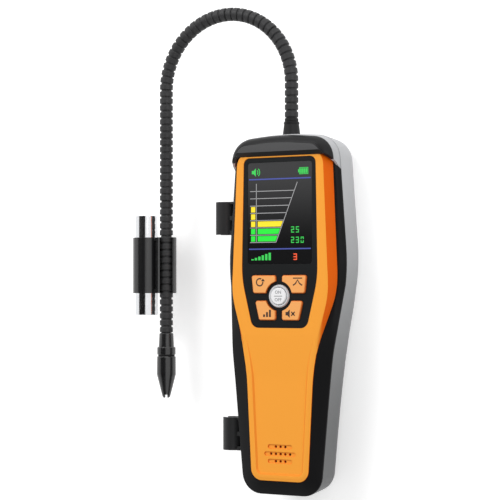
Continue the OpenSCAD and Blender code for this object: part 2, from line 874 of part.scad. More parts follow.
module charge_socket() {
    low = socket_z - socket_h / 2;
    shell = 0.4;
    color(steel)
        difference() {
            block([-socket_w / 2, socket_w / 2], [socket_y, socket_y + socket_l], [low, low + socket_h]);
            block([-socket_w / 2 + shell, socket_w / 2 - shell], [0, socket_y + socket_l - 2],
                [low + shell, low + socket_h - shell]);
        }
}

// Sample path: hose from the gooseneck, infrared cell, hose to the pump
port_r = 1.2;
port_l = 3;
cell_block_z = wall + fit;
cell_block_h = 10;
cell_block_y = body_h - 30;
cell_block_l = 13;
cell_block_half = 13;
bend_r = 6;
pump_x = -9;
pump_half = 8;
pump_h = 15.8;
pump_start = power_y + 8;
pump_l = 16;
motor_l = 22;
pump_port_z = cell_block_z + cell_block_h / 2;
sample_port_y = cell_block_y + cell_block_l / 2;
hose_start = top_y - wall - draft - 2.7;

module infrared_cell() {
    color(steel) {
        block([-cell_block_half, cell_block_half], [cell_block_y, cell_block_y + cell_block_l],
            [cell_block_z, cell_block_z + cell_block_h]);
        translate([0, 0, cell_block_z + cell_block_h])
            post([0, sample_port_y], port_r, -1, port_l);
        turned([pump_x, cell_block_y - port_l, pump_port_z], rod(port_r, port_l + 1));
    }
}

module cell_end(side, length) {
    translate([side * cell_block_half, sample_port_y, pump_port_z])
        rotate([0, side * 90, 0])
            cylinder(d = cell_block_h - 1.5, h = length);
}

module infrared_lamp() {
    color([0.75, 0.7, 0.4])
        cell_end(-1, 6);
}

module infrared_detector() {
    color(steel)
        cell_end(1, 5);
}

module sample_hose() {
    drop = cell_block_z + cell_block_h + fit;
    turn_y = sample_port_y + bend_r;
    color([0.85, 0.85, 0.8])
        difference() {
            union() {
                turned([0, turn_y, neck_z], rod(hose_d / 2, hose_start - turn_y));
                translate([0, turn_y, neck_z - bend_r])
                    rotate([0, -90, 0])
                        rotate_extrude(angle = -90)
                            translate([bend_r, 0])
                                circle(d = hose_d);
                post([0, sample_port_y], hose_d / 2, drop, neck_z - bend_r);
            }
            post([0, sample_port_y], port_r + fit, 0, drop + port_l);
        }
}

module pump_hose() {
    start = pump_start + pump_l + motor_l + fit;
    end = cell_block_y - fit;
    color([0.85, 0.85, 0.8])
        difference() {
            turned([pump_x, start, pump_port_z], rod(hose_d / 2, end - start));
            turned([pump_x, end - port_l - slip, pump_port_z], rod(port_r + fit, port_l + 2));
        }
}

module air_pump() {
    start = pump_start + motor_l;
    color(black)
        block([pump_x - pump_half, pump_x + pump_half], [start, start + pump_l],
            [wall + fit, wall + fit + pump_h]);
}

module pump_motor() {
    color(steel)
        turned([pump_x, pump_start, wall + fit + pump_h / 2], rod(motor_d / 2, motor_l));
}

// Screws: groups of like screws
module case_screws() {
    color(steel)
        for (p = case_screw_at)
            difference() {
                turned_up([p[0], p[1], 0], [
                    [0, screw_seat_z - 1.8], [screw_head_r - 0.3, screw_seat_z - 1.8],
                    [screw_head_r, screw_seat_z - 1.4], [screw_head_r, screw_seat_z],
                    [screw_r, screw_seat_z], [screw_r, ceiling_z - 1.5], [0, ceiling_z - 1.5]
                ]);
                block([p[0] - 1.4, p[0] + 1.4], [p[1] - 0.3, p[1] + 0.3], [0, screw_seat_z - 1]);
                block([p[0] - 0.3, p[0] + 0.3], [p[1] - 1.4, p[1] + 1.4], [0, screw_seat_z - 1]);
            }
}

module board_screws() {
    head_r = 1.9;
    color(steel)
        for (p = board_screw_at)
            turned_up([p[0], p[1], 0], [
                [0, board_back_z - 1.2], [head_r, board_back_z - 1.2], [head_r, board_back_z],
                [board_screw_r, board_back_z], [board_screw_r, ceiling_z - 0.6], [0, ceiling_z - 0.6]
            ]);
}

// Side clips: a sprung ring that opens to the left, on a ribbed root with a tenon in the wall
rib_t = [2.2, 2.4, 1.3];

module side_clip(x, y, pad_x) {
    bore_r = clip_bore_d / 2;
    ring_r = bore_r + clip_wall;
    low = y - clip_l / 2;
    high = y + clip_l / 2;
    root = [-x + bore_r + clip_wall / 2, -pad_x];
    color(black)
        difference() {
            union() {
                turned([-x, low, clip_z], rod(ring_r, clip_l));
                block(root, [low, high], [clip_z - pad_h / 2, clip_z - pad_h / 2 + 2]);
                block(root, [low, low + rib_t[0]], [clip_z - pad_h / 2, clip_z + pad_h / 2]);
                block(root, [y - rib_t[1] / 2, y + rib_t[1] / 2], [clip_z - pad_h / 2, clip_z + pad_h / 2]);
                block(root, [high - rib_t[2], high], [clip_z - pad_h / 2, clip_z + pad_h / 2]);
                block([-pad_x - 1.2, -pad_x], [low, high], [clip_z - pad_h / 2, clip_z + pad_h / 2]);
                block([-pad_x - 1, -pad_x + tenon_in], [y - tenon_l / 2, y + tenon_l / 2],
                    [clip_z - tenon_h / 2, clip_z + tenon_h / 2]);
            }
            turned([-x, low - 1, clip_z], rod(bore_r, clip_l + 2));
            block([-x - ring_r - 1, -x], [low - 1, high + 1],
                [clip_z - clip_mouth / 2, clip_z + clip_mouth / 2]);
        }
}

module upper_clip() {
    side_clip(upper_clip_x, upper_clip_y, upper_pad_x);
}

module lower_clip() {
    side_clip(lower_clip_x, lower_clip_y, lower_pad_x);
}

// Boot: a flange inside the housing, a neck in the notch and a tapered sleeve outside
link_rings = arch_rings / 4;
neck_start = top_y + boot_h;
spigot_r = core_d / 2 - 0.1;
spigot_l = 6;

module gland_boot() {
    flange_r = 5.6;
    flange_t = 2.5;
    flange_top = -wall - draft - slip;
    lip_end = boot_h - 2.2;
    color(black)
        difference() {
            turned([0, top_y, neck_z], [
                [0, flange_top - flange_t], [flange_r, flange_top - flange_t], [flange_r, flange_top],
                [notch_r - slip, flange_top], [notch_r - slip, slip], [boot_d / 2, slip],
                [boot_d / 2 - 0.1, 1], [boot_top_d / 2, lip_end - 1.4],
                [boot_top_d / 2 + 0.2, lip_end - 1], [boot_top_d / 2 + 0.2, lip_end - 0.3],
                [boot_top_d / 2 - 0.1, lip_end], [ring_r - 0.3, lip_end], [ring_r, lip_end + 0.4],
                [ring_r, boot_h - 0.3], [ring_edge_r, boot_h], [0, boot_h]
            ]);
            turned([0, neck_start - spigot_l - slip, neck_z], rod(spigot_r + fit, spigot_l + 1));
        }
}

// Gooseneck: rings on a core, in links that tilt on a ball inside the gap between two rings
ring_r = neck_d / 2;
ring_edge_r = ring_r - 0.3;
ring_chamfer = 0.35;
core_r = core_d / 2;
ball_r = core_r - 0.15;
ball_fit = 0.07;
arch_r = arch_rings * ring_pitch / PI;
arch_y = neck_start + rise_rings * ring_pitch;
run_x = -2 * arch_r;
run_end = arch_y - run_rings * ring_pitch;
ring_turn = 180 / arch_rings;
half_gap_turn = ring_gap / 2 / arch_r * 180 / PI;

// Half of the section of one ring that starts at height h
function ring_profile(h) = [
    [ring_edge_r, h + ring_gap / 2],
    [ring_r, h + ring_gap / 2 + ring_chamfer],
    [ring_r, h + ring_pitch - ring_gap / 2 - ring_chamfer],
    [ring_edge_r, h + ring_pitch - ring_gap / 2]
];
function stack_profile(count) = [
    for (i = [0 : count - 1]) each concat(
        [[core_r, i * ring_pitch + ring_gap / 2]],
        ring_profile(i * ring_pitch),
        [[core_r, (i + 1) * ring_pitch - ring_gap / 2]]
    )
];

// A straight stretch of rings along +Y from its foot
module straight_rings(count) {
    top = count * ring_pitch - ring_gap / 2;
    turned([0, 0, 0], concat([[0, ring_gap / 2]], stack_profile(count), [[0, top]]));
}

module neck_base() {
    color(black)
        translate([0, neck_start, neck_z]) {
            straight_rings(rise_rings);
            turned([0, -spigot_l, 0], rod(spigot_r, spigot_l + 1));
            translate([0, rise_rings * ring_pitch, 0])
                sphere(r = ball_r);
        }
}

module bend_link(index) {
    color(black)
        translate([-arch_r, arch_y, neck_z])
            rotate([0, 0, index * link_rings * ring_turn])
                difference() {
                    union() {
                        for (i = [0 : link_rings - 1])
                            rotate([0, 0, (i + 0.5) * ring_turn])
                                translate([arch_r, 0, 0])
                                    turned([0, -ring_pitch / 2, 0], concat(
                                        [[0, ring_gap / 2]],
                                        ring_profile(0),
                                        [[0, ring_pitch - ring_gap / 2]]
                                    ));
                        rotate([0, 0, half_gap_turn + ring_turn / 4])
                            rotate_extrude(angle = link_rings * ring_turn - 2 * half_gap_turn - ring_turn / 2)
                                translate([arch_r, 0])
                                    circle(r = core_r);
                        rotate([0, 0, link_rings * ring_turn])
                            translate([arch_r, 0, 0])
                                sphere(r = ball_r);
                    }
                    translate([arch_r, 0, 0])
                        sphere(r = ball_r + ball_fit);
                }
}

// A link of the straight run, counted in rings from the end of the arch
module run_link(first, count, ball) {
    color(black)
        translate([run_x, arch_y - first * ring_pitch, neck_z])
            rotate([0, 0, 180])
                difference() {
                    union() {
                        straight_rings(count);
                        translate([0, count * ring_pitch, 0])
                            if (ball)
                                sphere(r = ball_r);
                            else
                                turned([0, -1, 0], rod(spigot_r, spigot_l + 1));
                    }
                    sphere(r = ball_r + ball_fit);
                }
}

module neck_link_1() { bend_link(0); }
module neck_link_2() { bend_link(1); }
module neck_link_3() { bend_link(2); }
module neck_link_4() { bend_link(3); }
module neck_link_5() { run_link(0, link_rings, true); }
module neck_link_6() { run_link(link_rings, link_rings, true); }
module neck_link_7() { run_link(2 * link_rings, run_rings - 2 * link_rings, false); }

// Probe: ferrule with its collar, seal, nozzle and filter, drawn downwards from the gooseneck's end
thread_r = 3.4;
thread_l = 5;
seal_gap = 0.9;
chamber_r = 3.9;
collar_end = ferrule_l + collar_l;
nozzle_start = collar_end + seal_gap;
taper_start = nozzle_start + nozzle_l;
tip_end = taper_start + taper_l;
filter_start = nozzle_start + thread_l + 0.2;
filter_l = 4;
inlet_r = 0.8;

module on_probe() {
    translate([run_x, run_end, neck_z])
        rotate([0, 0, 180])
            children();
}

module probe_ferrule() {
    color(black)
        on_probe()
            difference() {
                turned([0, 0, 0], [
                    [0, 0], [ferrule_d / 2 - 0.4, 0], [ferrule_d / 2, 0.4], [ferrule_end_d / 2, ferrule_l],
                    [collar_d / 2 - 0.4, ferrule_l], [collar_d / 2, ferrule_l + 0.4],
                    [collar_d / 2, collar_end - 0.3], [collar_d / 2 - 0.3, collar_end],
                    [thread_r, collar_end], [thread_r, nozzle_start + thread_l], [0, nozzle_start + thread_l]
                ]);
                turned([0, -1, 0], [[0, 0], [spigot_r + fit, 0], [spigot_r + fit, spigot_l + 1 + slip],
                    [inlet_r, spigot_l + 1 + slip], [inlet_r, tip_end], [0, tip_end]]);
            }
}

module nozzle_seal() {
    middle_r = (thread_r + fit + collar_d / 2 - 0.5) / 2;
    half = collar_d / 2 - 0.5 - middle_r;
    color([0.05, 0.05, 0.05])
        on_probe()
            turned([0, collar_end + fit, 0], [
                [middle_r - half, 0], [middle_r + half - 0.2, 0], [middle_r + half, 0.2],
                [middle_r + half, seal_gap - 0.2 - 2 * fit], [middle_r + half - 0.2, seal_gap - 2 * fit],
                [middle_r - half, seal_gap - 2 * fit]
            ]);
}

module nozzle() {
    chamber_end = filter_start + filter_l + slip;
    color(black)
        on_probe()
            difference() {
                turned([0, 0, 0], [
                    [0, nozzle_start], [nozzle_d / 2 - 0.4, nozzle_start],
                    [nozzle_d / 2 - 0.1, nozzle_start + 0.4], [nozzle_d / 2, taper_start - 0.6],
                    [nozzle_d / 2 - 0.2, taper_start + 0.4],
                    [tip_d / 2 + 0.15, tip_end - 0.7], [tip_d / 2 - 0.35, tip_end], [0, tip_end]
                ]);
                turned([0, 0, 0], [[0, 0], [thread_r + fit, 0], [thread_r + fit, filter_start - slip],
                    [chamber_r, filter_start - slip], [chamber_r, chamber_end], [inlet_r, chamber_end + 3],
                    [inlet_r, tip_end + 1], [0, tip_end + 1]]);
                for (a = [0, 90])
                    rotate([0, a - mouth_turn, 0])
                        block([-tip_slot / 2, tip_slot / 2], [tip_end - tip_slot_dz, tip_end + 1],
                            [-tip_d, tip_d]);
            }
}

module nozzle_filter() {
    color("white")
        on_probe()
            turned([0, filter_start, 0], rod(chamber_r - fit, filter_l));
}

// Holder: a sleeve round the tube, and an open channel that snaps on the gooseneck
sleeve_r = tube_d / 2 + fit + sleeve_wall;
tube_x = run_x - sleeve_r - channel_d / 2 - 0.1;
channel_mouth = neck_d - 0.6;

module holder_length(at, r, extra) {
    turned([at, tube_y - holder_l / 2 - extra, neck_z], rod(r, holder_l + 2 * extra));
}

module tube_holder() {
    web = 3;
    rib_l = 2;
    low = tube_y - holder_l / 2;
    color(black)
        difference() {
            union() {
                holder_length(tube_x, sleeve_r, 0);
                holder_length(run_x, channel_d / 2, 0);
                for (y = [low, low + holder_l - rib_l])
                    block([tube_x, run_x], [y, y + rib_l], [neck_z - sleeve_r + 1, neck_z + web]);
                block([tube_x, run_x], [low, low + holder_l], [neck_z - web, neck_z + web - 1]);
            }
            holder_length(tube_x, tube_d / 2 + fit, 1);
            holder_length(run_x, ring_r + fit, 1);
            translate([run_x, low, neck_z])
                rotate([0, mouth_turn, 0])
                    block([-channel_mouth / 2, channel_mouth / 2], [-1, holder_l + 1], [0, channel_d]);
        }
}

module holder_tube() {
    r = tube_d / 2;
    inner = r - tube_wall;
    color([0.85, 0.85, 0.87])
        turned([tube_x, tube_y - tube_l / 2, neck_z], [
            [inner, 0], [r - 0.2, 0], [r, 0.2], [r, tube_l - 0.2], [r - 0.2, tube_l], [inner, tube_l]
        ]);
}

// The origin is on the flat back, half-way up the housing
module on_back() {
    translate([0, -body_h / 2, 0])
        children();
}

on_back() rear_cover();
on_back() bumper();
on_back() front_cover();
on_back() top_cap();
on_back() display_window();
on_back() display_module();
on_back() main_board();
on_back() key_switches();
on_back() reset_key();
on_back() peak_key();
on_back() sens_key();
on_back() mute_key();
on_back() power_key();
on_back() power_bezel();
on_back() speaker_mesh();
on_back() speaker();
on_back() battery_tray();
on_back() battery_cell();
on_back() charge_board();
on_back() charge_socket();
on_back() air_pump();
on_back() pump_motor();
on_back() infrared_cell();
on_back() infrared_lamp();
on_back() infrared_detector();
on_back() sample_hose();
on_back() pump_hose();
on_back() case_screws();
on_back() board_screws();
on_back() upper_clip();
on_back() lower_clip();
on_back() gland_boot();
on_back() neck_base();
on_back() neck_link_1();
on_back() neck_link_2();
on_back() neck_link_3();
on_back() neck_link_4();
on_back() neck_link_5();
on_back() neck_link_6();
on_back() neck_link_7();
on_back() probe_ferrule();
on_back() nozzle_seal();
on_back() nozzle();
on_back() nozzle_filter();
on_back() tube_holder();
on_back() holder_tube();
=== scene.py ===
import json
import math

import bmesh
import bpy
from mathutils import Matrix, Vector


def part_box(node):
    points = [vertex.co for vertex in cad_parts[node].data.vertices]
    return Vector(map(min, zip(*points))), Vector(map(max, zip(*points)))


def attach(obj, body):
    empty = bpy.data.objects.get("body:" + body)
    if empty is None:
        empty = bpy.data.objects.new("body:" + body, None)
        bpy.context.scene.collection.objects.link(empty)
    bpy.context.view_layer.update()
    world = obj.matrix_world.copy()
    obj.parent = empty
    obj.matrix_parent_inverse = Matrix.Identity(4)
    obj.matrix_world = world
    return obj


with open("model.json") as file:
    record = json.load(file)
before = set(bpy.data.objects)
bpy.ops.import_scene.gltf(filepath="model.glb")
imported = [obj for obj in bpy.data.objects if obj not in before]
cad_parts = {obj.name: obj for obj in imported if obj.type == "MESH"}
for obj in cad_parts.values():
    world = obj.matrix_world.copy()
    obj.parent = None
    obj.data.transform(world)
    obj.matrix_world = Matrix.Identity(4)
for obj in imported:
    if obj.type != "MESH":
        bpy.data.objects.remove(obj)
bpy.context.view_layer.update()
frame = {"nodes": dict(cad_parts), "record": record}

MM = 0.001
WHITE = (1, 1, 1, 1)
UP = Vector((0, 1, 0))
scene = bpy.context.scene
scene.view_settings.view_transform = "Standard"

# Camera: the detector lies on its back, so the photograph's upright view looks down on it
CAMERA_YAW = math.radians(29)
CAMERA_DISTANCE = 924 * MM
CAMERA_ASIDE = 18.6 * MM
EYE_LEVEL = Vector((0, 11, 36)) * MM
FOCAL_LENGTH = 118.8
SENSOR_WIDTH = 36
HORIZON_SHIFT = 0.088
NEAREST_SEEN = 20 * MM


def add_camera():
    out = Vector((math.sin(CAMERA_YAW), 0, math.cos(CAMERA_YAW)))
    right = Vector((out.z, 0, -out.x))
    data = bpy.data.cameras.new("camera")
    data.lens = FOCAL_LENGTH
    data.sensor_width = SENSOR_WIDTH
    data.shift_y = HORIZON_SHIFT
    data.clip_start = NEAREST_SEEN
    camera = bpy.data.objects.new("camera", data)
    place = EYE_LEVEL + out * CAMERA_DISTANCE - right * CAMERA_ASIDE
    turn = Matrix((right, UP, out)).transposed().to_4x4()
    camera.matrix_world = Matrix.Translation(place) @ turn
    scene.collection.objects.link(camera)
    scene.camera = camera


# Lamps: a large soft key from the upper left, a fill from the upper right and a strip beyond the head,
# each with its place in metres, its width and height, and its power in watts
LAMPS = (
    ("key_lamp", (-0.5, 0.75, 1.0), (0.8, 0.8), 9.0),
    ("fill_lamp", (0.9, 0.5, 0.7), (0.6, 0.9), 2.5),
    ("top_lamp", (0.2, 1.1, 0.35), (0.9, 0.4), 1.5),
)
LAMP_TARGET = Vector((0, 20, 20)) * MM


def add_lamps():
    for name, place, size, power in LAMPS:
        data = bpy.data.lights.new(name, "AREA")
        data.shape = "RECTANGLE"
        data.size, data.size_y = size
        data.energy = power
        lamp = bpy.data.objects.new(name, data)
        lamp.location = place
        lamp.rotation_euler = (LAMP_TARGET - Vector(place)).to_track_quat("-Z", "Y").to_euler()
        scene.collection.objects.link(lamp)


def camera_sees(tree):
    """1 for rays that show the background: straight from the camera, mirrored or through glass."""
    path = tree.nodes.new("ShaderNodeLightPath")
    total = path.outputs["Is Camera Ray"]
    for name in ("Is Glossy Ray", "Is Transmission Ray"):
        most = tree.nodes.new("ShaderNodeMath")
        most.operation = "MAXIMUM"
        tree.links.new(total, most.inputs[0])
        tree.links.new(path.outputs[name], most.inputs[1])
        total = most.outputs[0]
    return total


# World: a plain white, at full strength where it shows as the background
AMBIENT = 0.5
BACKGROUND = 1.0


def add_world():
    world = bpy.data.worlds.new("studio")
    world.use_nodes = True
    tree = world.node_tree
    scene.world = world
    strength = tree.nodes.new("ShaderNodeMapRange")
    strength.inputs["To Min"].default_value = AMBIENT
    strength.inputs["To Max"].default_value = BACKGROUND
    tree.links.new(camera_sees(tree), strength.inputs["Value"])
    background = tree.nodes["Background"]
    background.inputs["Color"].default_value = WHITE
    tree.links.new(strength.outputs[0], background.inputs["Strength"])


def add_stage_sheet(name, corners, material):
    mesh = bpy.data.meshes.new(name)
    mesh.from_pydata(corners, [], [(0, 1, 2, 3)])
    mesh.materials.append(material)
    sheet = bpy.data.objects.new(name, mesh)
    scene.collection.objects.link(sheet)
    return sheet


def matt_material(name, colour, roughness, shine):
    material = bpy.data.materials.new(name)
    material.use_nodes = True
    shader = material.node_tree.nodes["Principled BSDF"]
    shader.inputs["Base Color"].default_value = colour
    shader.inputs["Roughness"].default_value = roughness
    shader.inputs["Specular IOR Level"].default_value = shine
    return material


# Floor: pale paper just under the detector, lifted towards white only where the background shows
FLOOR_HALF = 3.0
FLOOR_DROP = 0.1 * MM
FLOOR_COLOUR = (0.93, 0.93, 0.93, 1)
FLOOR_ROUGHNESS = 0.9
FLOOR_SHINE = 0.1
FLOOR_LIFT = 0.43


def add_floor():
    paper = matt_material("floor_paper", FLOOR_COLOUR, FLOOR_ROUGHNESS, FLOOR_SHINE)
    tree = paper.node_tree
    shader = tree.nodes["Principled BSDF"]
    shader.inputs["Emission Color"].default_value = WHITE
    lift = tree.nodes.new("ShaderNodeMath")
    lift.operation = "MULTIPLY"
    lift.inputs[1].default_value = FLOOR_LIFT
    tree.links.new(camera_sees(tree), lift.inputs[0])
    tree.links.new(lift.outputs[0], shader.inputs["Emission Strength"])
    signs = ((-1, -1), (1, -1), (1, 1), (-1, 1))
    add_stage_sheet("floor", [(x * FLOOR_HALF, y * FLOOR_HALF, -FLOOR_DROP) for x, y in signs], paper)


# A black card beside the camera, only seen mirrored: it keeps the black plastic dark and puts the dark bands
# on the tube, the double clip and the nozzle
CARD_TURN = math.radians(-14)
CARD_DISTANCE = 1.0
CARD_HALF_WIDTH = 0.62
CARD_HALF_HEIGHT = 0.8
CARD_COLOUR = (0.01, 0.01, 0.01, 1)


def add_card():
    out = Vector((math.sin(CARD_TURN), 0, math.cos(CARD_TURN)))
    middle = out * CARD_DISTANCE
    across = Vector((out.z, 0, -out.x)) * CARD_HALF_WIDTH
    up = UP * CARD_HALF_HEIGHT
    corners = [middle - across - up, middle + across - up, middle + across + up, middle - across + up]
    card = add_stage_sheet("left_card", corners, matt_material("black_velvet", CARD_COLOUR, 1, 0))
    card.visible_camera = False
    card.visible_diffuse = False
    card.visible_shadow = False


# Materials: a base colour with a soft drift of tone, a fine grain in bump and gloss, and softened edges, and
# on some of them painted light and shade
DRIFT_SCALE, DRIFT_DETAIL = 35, 3
DRIFT_LOW, DRIFT_HIGH = 0.3, 0.7
GRAIN_DETAIL = 4
GRAIN_DEPTH = 0.05 * MM
GLOSS_SPREAD = 0.15
EDGE_SAMPLES = 6


def linear(r, g, b):
    """An sRGB colour, 0 to 255, as the linear values that a shader takes."""
    def channel(c):
        c = c / 255
        return c / 12.92 if c <= 0.04045 else ((c + 0.055) / 1.055) ** 2.4
    return (channel(r), channel(g), channel(b))


def noise(tree, coords, scale, detail):
    node = tree.nodes.new("ShaderNodeTexNoise")
    node.inputs["Scale"].default_value = scale
    node.inputs["Detail"].default_value = detail
    tree.links.new(coords, node.inputs["Vector"])
    return node.outputs["Fac"]


def tint(colour, share):
    return tuple(min(1, max(0, c * share)) for c in colour) + (1,)


def drifting(tree, coords, colour, drift):
    tone = tree.nodes.new("ShaderNodeValToRGB")
    dark, light = tone.color_ramp.elements
    dark.position, light.position = DRIFT_LOW, DRIFT_HIGH
    dark.color, light.color = tint(colour, 1 - drift), tint(colour, 1 + drift)
    tree.links.new(noise(tree, coords, DRIFT_SCALE, DRIFT_DETAIL), tone.inputs["Fac"])
    return tone.outputs["Color"]


def painted_light_ramp(tree, places, base, colour, coordinates, axis, low, high):
    """Painted light and shade: base, turned into colour from low to high along an axis of those coordinates.
    """
    along = tree.nodes.new("ShaderNodeSeparateXYZ")
    tree.links.new(places[coordinates], along.inputs[0])
    share = tree.nodes.new("ShaderNodeMapRange")
    share.interpolation_type = "SMOOTHSTEP"
    share.inputs["From Min"].default_value = low
    share.inputs["From Max"].default_value = high
    tree.links.new(along.outputs[axis], share.inputs["Value"])
    mix = tree.nodes.new("ShaderNodeMix")
    mix.data_type = "RGBA"
    mix.inputs["B"].default_value = tint(colour, 1)
    tree.links.new(share.outputs[0], mix.inputs["Factor"])
    tree.links.new(base, mix.inputs["A"])
    return mix.outputs["Result"]


def surface(name, colour, gloss, grain=0.25, grain_size=0.35, drift=0.06, edge=0.25, metal=0.0, shine=0.5,
            painted_light=None):
    """A moulded or turned surface. gloss is its roughness, grain the depth of its texture and grain_size its
    scale in mm, drift the change of tone, edge the softened radius in mm, shine how strongly it mirrors.
    The last argument, (colour, coordinates, axis, low, high), is painted light and shade: it turns colour
    into another one along that axis."""
    material = bpy.data.materials.new(name)
    material.use_nodes = True
    tree = material.node_tree
    shader = tree.nodes["Principled BSDF"]
    places = tree.nodes.new("ShaderNodeTexCoord").outputs
    coords = places["Object"]
    base = drifting(tree, coords, colour, drift)
    if painted_light:
        base = painted_light_ramp(tree, places, base, *painted_light)
    tree.links.new(base, shader.inputs["Base Color"])
    fine = noise(tree, coords, 1 / (grain_size * MM), GRAIN_DETAIL)
    rough = tree.nodes.new("ShaderNodeMapRange")
    rough.inputs["To Min"].default_value = gloss * (1 - GLOSS_SPREAD)
    rough.inputs["To Max"].default_value = min(1, gloss * (1 + GLOSS_SPREAD))
    tree.links.new(fine, rough.inputs["Value"])
    tree.links.new(rough.outputs[0], shader.inputs["Roughness"])
    bump = tree.nodes.new("ShaderNodeBump")
    bump.inputs["Strength"].default_value = grain
    bump.inputs["Distance"].default_value = GRAIN_DEPTH
    tree.links.new(fine, bump.inputs["Height"])
    if edge:
        rounded = tree.nodes.new("ShaderNodeBevel")
        rounded.samples = EDGE_SAMPLES
        rounded.inputs["Radius"].default_value = edge * MM
        tree.links.new(rounded.outputs["Normal"], bump.inputs["Normal"])
    tree.links.new(bump.outputs["Normal"], shader.inputs["Normal"])
    shader.inputs["Metallic"].default_value = metal
    shader.inputs["Specular IOR Level"].default_value = shine
    return material


def glowing(name, colour, strength):
    """Lit marks on the display: their own colour, with a fine pixel drift."""
    material = surface(name, colour, gloss=0.4, grain=0.02, edge=0, drift=0.04)
    shader = material.node_tree.nodes["Principled BSDF"]
    shader.inputs["Emission Color"].default_value = tuple(colour) + (1,)
    shader.inputs["Emission Strength"].default_value = strength
    return material


# Painted light and shade: the orange, the black, the cap and the keys are painted lighter on faces that look
# out of the front and darker on their sides and rims; the grey shell is painted lighter towards the head and
# the display glass lighter towards its top, a painted reflection
SCREEN_LOW, SCREEN_HIGH = (v.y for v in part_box("display_module"))
SIDE_LOW, SIDE_HIGH = (v.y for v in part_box("rear_cover"))
SCREEN_PAINTED_REFLECTION = (SCREEN_LOW + 10 * MM, SCREEN_HIGH)
SIDE_PAINTED_LIGHT = (SIDE_LOW + 20 * MM, SIDE_HIGH - 10 * MM)
SURFACES = {
    # painted shade: the orange is painted deeper on its sides and bevels and lighter on its front
    "orange_plastic": dict(colour=linear(243, 104, 2), gloss=0.42, grain=0.12, drift=0.03, shine=0.1,
                           painted_light=(linear(254, 168, 62), "Normal", "Z", 0.42, 0.9)),
    # painted light: the black is painted a little lighter on faces that look straight out of the front
    "black_plastic": dict(colour=linear(18, 18, 19), gloss=0.36, grain=0.3, drift=0.12, shine=0.12,
                          painted_light=(linear(24, 24, 25), "Normal", "Z", 0.9, 0.995)),
    # painted highlight: the cap's front face is painted much lighter than its top band and sides
    "cap_black": dict(colour=linear(28, 28, 29), gloss=0.4, grain=0.3, drift=0.1, shine=0.18,
                      painted_light=(linear(74, 74, 75), "Normal", "Z", 0.95, 0.985)),
    "clip_black": dict(colour=linear(40, 40, 41), gloss=0.45, grain=0.3, drift=0.1, shine=0.3),
    "inner_black": dict(colour=linear(30, 30, 31), gloss=0.6, grain=0.3, drift=0.1),
    # painted light: the grey shell is painted lighter towards the head and darker towards the foot
    "grey_plastic": dict(colour=linear(98, 99, 100), gloss=0.45, grain=0.2, drift=0.03, shine=0.3,
                         painted_light=(linear(190, 191, 193), "Object", "Y", *SIDE_PAINTED_LIGHT)),
    "window_black": dict(colour=linear(31, 33, 34), gloss=0.3, grain=0.03, drift=0.05, edge=0.15, shine=0.2),
    # painted reflection: the display glass is painted lighter towards its top
    "display_glass": dict(colour=linear(20, 20, 21), gloss=0.25, grain=0.02, drift=0.03, edge=0.1, shine=0.2,
                          painted_light=(linear(68, 68, 69), "Object", "Y", *SCREEN_PAINTED_REFLECTION)),
    # painted shade: the keys are painted deeper on their sides and rims and lighter on their tops
    "key_orange": dict(colour=linear(236, 116, 40), gloss=0.5, grain=0.1, drift=0.03, edge=0.4, shine=0.3,
                       painted_light=(linear(251, 174, 98), "Normal", "Z", 0.6, 0.97)),
    "white_plastic": dict(colour=linear(246, 246, 247), gloss=0.35, grain=0.06, drift=0.02, edge=0.3),
    "silver_trim": dict(colour=linear(218, 219, 221), gloss=0.38, grain=0.05, drift=0.03, metal=0.12),
    "neck_black": dict(colour=linear(56, 56, 57), gloss=0.4, grain=0.15, drift=0.1, edge=0.15, shine=0.2),
    "nozzle_black": dict(colour=linear(24, 24, 25), gloss=0.22, grain=0.12, drift=0.1, shine=0.8),
    "rubber_black": dict(colour=linear(24, 24, 25), gloss=0.5, grain=0.35, drift=0.1, edge=0.3, shine=0.25),
    "chrome_tube": dict(colour=linear(232, 233, 235), gloss=0.15, grain=0.03, drift=0.03, metal=1.0),
    "steel": dict(colour=linear(180, 181, 184), gloss=0.35, grain=0.15, drift=0.05, metal=1.0),
    "cell_aluminium": dict(colour=linear(200, 201, 203), gloss=0.4, grain=0.2, drift=0.05, metal=1.0),
    "lamp_brass": dict(colour=linear(200, 165, 90), gloss=0.3, grain=0.15, drift=0.06, metal=1.0),
    "board_green": dict(colour=linear(22, 84, 48), gloss=0.45, grain=0.2, grain_size=0.8, drift=0.15),
    "battery_wrap": dict(colour=linear(52, 88, 160), gloss=0.3, grain=0.05, drift=0.06),
    "hose_pale": dict(colour=linear(214, 214, 206), gloss=0.4, grain=0.1, drift=0.05),
    "mesh_black": dict(colour=linear(26, 26, 27), gloss=0.8, grain=0.8, grain_size=0.25, drift=0.15, edge=0),
    "filter_white": dict(colour=linear(226, 224, 218), gloss=0.9, grain=0.8, grain_size=0.3, edge=0),
}
materials = {name: surface(name, **values) for name, values in SURFACES.items()}

# Pieces of black plastic that the photograph shows in another finish. The top cap's finish has its front
# face painted lighter, a painted highlight.
FINISH = {
    "top_cap": "cap_black",
    "upper_clip": "clip_black",
    "lower_clip": "clip_black",
    "tube_holder": "nozzle_black",
}

# Smooth shading by angle, as a modifier, so that the lofted shells don't show their facets
SMOOTH_ANGLE = math.radians(28)
WELD_DISTANCE = 0.002 * MM


